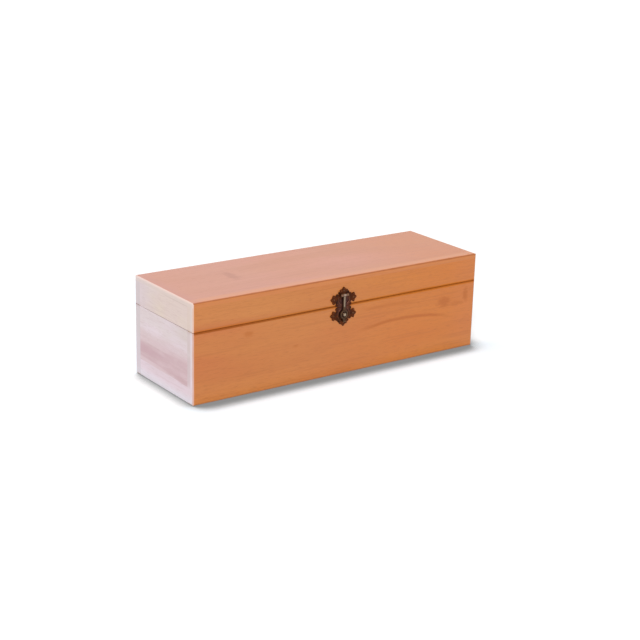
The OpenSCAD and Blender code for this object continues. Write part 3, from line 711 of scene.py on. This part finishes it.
class Pattern(Graph):
    """A tree of Geometry Nodes with named inputs."""

    def __init__(self, name, **inputs):
        super().__init__(bpy.data.node_groups.new(name, "GeometryNodeTree"))
        self.tree.interface.new_socket("Mesh", in_out="OUTPUT", socket_type="NodeSocketGeometry")
        self.values = {}
        for label, value in inputs.items():
            socket = self.tree.interface.new_socket(label.replace("_", " "), in_out="INPUT",
                                                    socket_type=socket_kinds[type(value)])
            self.values[socket.identifier] = value
        self.given = self.tree.nodes.new("NodeGroupInput")

    def input(self, name):
        return Value(self, self.given.outputs[name])

    def join(self, *meshes):
        together = self.node("GeometryNodeJoinGeometry")
        for mesh in meshes:
            self.feed(together.inputs[0], mesh)
        return Value(self, together.outputs[0])

    def raised(self, mesh, height):
        return self.value("GeometryNodeTransform", Geometry=mesh, Translation=self.vector(0.0, 0.0, height))

    def copies(self, mesh, count, place, tilt, seed):
        """Copies of a mesh, each at a place worked out from its index and with a turn of its own."""
        points = self.value("GeometryNodePoints", Count=count, Position=place)
        row = self.value("GeometryNodeInstanceOnPoints", Points=points, Instance=mesh,
                         Rotation=self.vector(tilt, 0.0, 0.0))
        turn = self.value("FunctionNodeRandomValue", {"data_type": "FLOAT"}, output=1,
                          _2=0.0, _3=math.tau, Seed=seed)
        row = self.value("GeometryNodeRotateInstances", Instances=row, Rotation=self.vector(0.0, 0.0, turn))
        return self.value("GeometryNodeRealizeInstances", Geometry=row)

    def make(self, mesh, material):
        """The finished pattern as an object with a plain mesh."""
        self.node("NodeGroupOutput", _0=self.value("GeometryNodeSetMaterial", Geometry=mesh, Material=material))
        name = self.tree.name
        carrier = bpy.data.objects.new(name, bpy.data.meshes.new(name))
        bpy.context.scene.collection.objects.link(carrier)
        modifier = carrier.modifiers.new("pattern", "NODES")
        modifier.node_group = self.tree
        for identifier, value in self.values.items():
            modifier[identifier] = value
        graph = bpy.context.evaluated_depsgraph_get()
        plain = bpy.data.meshes.new_from_object(carrier.evaluated_get(graph), depsgraph=graph)
        carrier.modifiers.clear()
        carrier.data = plain
        plain.name = name
        print(name, "has", len(plain.polygons), "faces from", corner(plain, min), "to", corner(plain, max), "mm")
        return carrier


print("a pattern takes", ", ".join(kind[10:] for kind in socket_kinds.values()), "inputs")

# %% [markdown]
# ### The clasp's nails
# A nail has a domed head with a foot sunk in the plate and a shank that tapers to a point in the wood. The hammer
# leaves shallow flats on the dome, which is a coarse noise that only ever presses inwards.

# %% Nails of the clasp
def nails(name, up, seed):
    """The three nails of one plate. Up is 1 for the lid's plate and -1 for the base's."""
    p = Pattern(name, Material=fastener_bronze, Reach=0.0120, Belly=0.0084, Tip=0.0165, Head_radius=0.0012,
                Head_height=0.0005, Foot=0.4, Shank_radius=0.00055, Shank_length=0.006, Point=0.35, Plate=0.0009,
                Dents_per_metre=900.0, Dents_from=0.42, Dent_depth=0.0006, Up=float(up), Seed=seed)
    ball = p.value("GeometryNodeMeshUVSphere", Segments=36, Rings=18, Radius=1.0)
    x, y, z = p.parts_of(p.value("GeometryNodeInputPosition"))
    high = z * p.input("Head height")
    dome = p.vector(x * p.input("Head radius"), y * p.input("Head radius"), p.largest(high, high * p.input("Foot")))
    head = p.value("GeometryNodeSetPosition", Geometry=ball, Position=dome)
    length = p.input("Shank length") + p.input("Plate")
    shank = p.value("GeometryNodeMeshCone", Vertices=16, Side_Segments=6, Radius_Top=p.input("Shank radius"),
                    Radius_Bottom=p.input("Shank radius") * p.input("Point"), Depth=length)
    nail = p.join(head, p.raised(shank, length * -1.0))

    side = p.value("GeometryNodeInputIndex") - 1.0
    outer = abs(side)
    climb = outer * p.input("Belly") + (1.0 - outer) * p.input("Tip")
    place = p.vector(side * p.input("Reach"), -half_width - p.input("Plate"), clasp_middle + climb * p.input("Up"))
    placed = p.copies(nail, 3, place, math.pi / 2, p.input("Seed"))

    bumps = p.value("ShaderNodeTexNoise", Scale=p.input("Dents per metre"), Detail=1.0)
    dent = p.largest(bumps - p.input("Dents from"), 0.0) * (p.input("Dent depth") * -1.0)
    outwards = p.value("GeometryNodeInputNormal")
    inwards = p.value("ShaderNodeVectorMath", {"operation": "SCALE"}, _0=outwards, Scale=dent)
    hammered = p.value("GeometryNodeSetPosition", Geometry=placed, Offset=inwards)
    return p.make(p.value("GeometryNodeSetShadeSmooth", _0=hammered), p.input("Material"))


for name, up, body, seed, node in (("hammered_nails_low", -1, "base", 3, "catch_plate_nails"),
                                   ("hammered_nails_high", 1, "lid", 7, "hasp_plate_nails")):
    row = nails(name, up, seed)
    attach(row, body)
    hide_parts(node)

# %% [markdown]
# ### The hinges' screws
# A screw has a countersunk head with a slightly raised crown and a slot. The slot is cut with a bar before the
# screws are copied, and each is left at a different turn, as a hand leaves them.

# %% Screws of the hinges
def screws(name, up, seed):
    """The four screws of the leaves on one side of the pins. Up is 1 for the lid's leaves and -1 for the base's."""
    p = Pattern(name, Material=fastener_bronze, Hinge_reach=0.115, Pitch=0.015, From_pin=0.009, Head_radius=0.0019,
                Shank_radius=0.00095, Length=0.007, Point=0.4, Sink=0.00075, Land=0.00015, Crown=0.0003,
                Bar_length=0.006, Slot_width=0.0005, Slot_depth=0.0005, Up=float(up), Seed=seed)
    cone = p.value("GeometryNodeMeshCone", {"fill_type": "TRIANGLE_FAN"}, Vertices=48, Side_Segments=3,
                   Fill_Segments=8, Radius_Top=p.input("Head radius"), Radius_Bottom=p.input("Shank radius"),
                   Depth=p.input("Sink"))
    x, y, z = p.parts_of(p.value("GeometryNodeInputPosition"))
    far = (x ** 2.0 + y ** 2.0) / p.input("Head radius") ** 2.0
    on_top = p.sum("GREATER_THAN", z, p.input("Sink") * 0.98)
    crown = p.vector(0.0, 0.0, (1.0 - far) * p.input("Crown") * on_top)
    head = p.raised(p.value("GeometryNodeSetPosition", Geometry=cone, Offset=crown), p.input("Land"))
    bar_size = p.vector(p.input("Bar length"), p.input("Slot width"), p.input("Slot depth") * 2.0)
    top = p.input("Land") + p.input("Sink") + p.input("Crown")
    bar = p.raised(p.value("GeometryNodeMeshCube", Size=bar_size), top)
    slotted = p.value("GeometryNodeMeshBoolean", {"operation": "DIFFERENCE", "solver": "EXACT"}, _0=head, _1=bar)
    shank = p.value("GeometryNodeMeshCone", Vertices=20, Side_Segments=6, Radius_Top=p.input("Shank radius"),
                    Radius_Bottom=p.input("Shank radius") * p.input("Point"),
                    Depth=p.input("Length") + p.input("Land"))
    screw = p.join(slotted, p.raised(shank, p.input("Length") * -1.0))

    index = p.value("GeometryNodeInputIndex")
    hinge = p.sum("FLOOR", index / 2.0)
    which = index - hinge * 2.0
    across = (hinge - 0.5) * (p.input("Hinge reach") * 2.0) + (which - 0.5) * p.input("Pitch")
    place = p.vector(across, half_width, seam + p.input("From pin") * p.input("Up"))
    placed = p.copies(screw, 4, place, -math.pi / 2, p.input("Seed"))
    return p.make(placed, p.input("Material"))


for name, up, body, seed, node in (("slotted_screws_low", -1, "base", 11, "hinge_base_screws"),
                                   ("slotted_screws_high", 1, "lid", 5, "hinge_lid_screws")):
    row = screws(name, up, seed)
    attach(row, body)
    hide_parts(node)

# %% [markdown]
# ## The floor, the lamps and the white room
# The box stands on a plain pale floor that runs out of sight. The floor is an ordinary white surface, so it takes
# the box's shadow, with a little light of its own for the camera's rays so that it comes out white. Close to the
# foot of the box, where little air is open above it, a painted shade darkens it for the camera. In front of the box
# and behind it, the floor is painted a little cooler, which takes out the warm light that the box throws onto it.

# %% Floor
def seen_directly(graph):
    """1 for a ray from the camera, from a mirror-like surface or through glass, and 0 for scattered light."""
    rays = graph.node("ShaderNodeLightPath").outputs
    kinds = ("Is Camera Ray", "Is Glossy Ray", "Is Transmission Ray")
    return graph.largest(*(Value(graph, rays[kind]) for kind in kinds))


def grey(level):
    """A grey in Blender's linear values."""
    return (level, level, level, 1)


floor_reach = 6
floor_height = -0.0001
mesh = bpy.data.meshes.new("floor")
corners = [(x * floor_reach, y * floor_reach, floor_height) for x, y in ((-1, -1), (1, -1), (1, 1), (-1, 1))]
mesh.from_pydata(corners, [], [(0, 1, 2, 3)])
floor = bpy.data.objects.new("floor", mesh)
bpy.context.scene.collection.objects.link(floor)

white = Finish("white_floor")
from_box = white.value("ShaderNodeVectorMath", {"operation": "LENGTH"}, output="Value", _0=white.place)
up_and_back = white.vector(-0.12, 0.47, 0.87)
# painted shade: the floor darkens near the box's foot, as seen by the camera
open_air = white.value("ShaderNodeAmbientOcclusion", {"samples": 16}, output="AO", Distance=0.026,
                       Normal=up_and_back)
foot = white.fade(open_air, 0.45, 0.96, low=1.0, high=0.0)
seen = seen_directly(white)
glow = seen * white.fade(from_box, 0.35, 1.6, low=0.5, high=1.0)
# painted colour that takes out the warm light bounced from the box
cooled_against_bounce = white.fade(abs(white.y), 0.045, 0.062) * white.fade(from_box, 0.42, 0.22)
cool_grey = (0.555, 0.622, 0.68, 1)
seen_with_painted_shade = white.mix(foot, white.mix(cooled_against_bounce, grey(0.62), cool_grey), grey(0.03))
white.surface(Base_Color=white.mix(seen, grey(0.80), seen_with_painted_shade), Roughness=0.9, Specular_IOR_Level=0,
              Emission_Color=grey(1), Emission_Strength=glow * (1.0 - foot * 0.5))
floor.data.materials.append(white.material)
print("the floor is", floor_reach * 2, "metres wide")

# %% [markdown]
# The room is white all round, bright for the eye and dimmer as a source of light. One large lamp stands at the left
# behind the camera. A small soft one hangs above and slightly behind the box and draws the thin shadow at its foot.

# %% Room and lamps
world = bpy.data.worlds.new("white_room")
bpy.context.scene.world = world
world.use_nodes = True
room = Graph(world.node_tree)
sky = room.tree.nodes["Background"]
strength = room.value("ShaderNodeMapRange", Value=seen_directly(room), To_Min=0.42, To_Max=1.0)
room.feed(sky.inputs["Color"], grey(1))
room.feed(sky.inputs["Strength"], strength)


def lamp(name, around, above, distance, size, power):
    """A square lamp that faces the box, placed by two angles in degrees and a distance in metres."""
    right, up, away = camera_axes(around, above, 0)
    data = bpy.data.lights.new(name, "AREA")
    data.size = size
    data.energy = power
    light = bpy.data.objects.new(name, data)
    light.matrix_world = turned_to(right, up, away, middle + away * distance)
    bpy.context.scene.collection.objects.link(light)
    level = power / (math.pi * distance) ** 2
    print(name, "gives a level of", round(level, 3), "on a surface that faces it")


lamp("window", around=-42, above=36, distance=8.8, size=2.4, power=428)
lamp("overhead", around=215, above=76, distance=1.8, size=0.5, power=8)

# %% [markdown]
# ## The box's size
# A finish must not change a size.
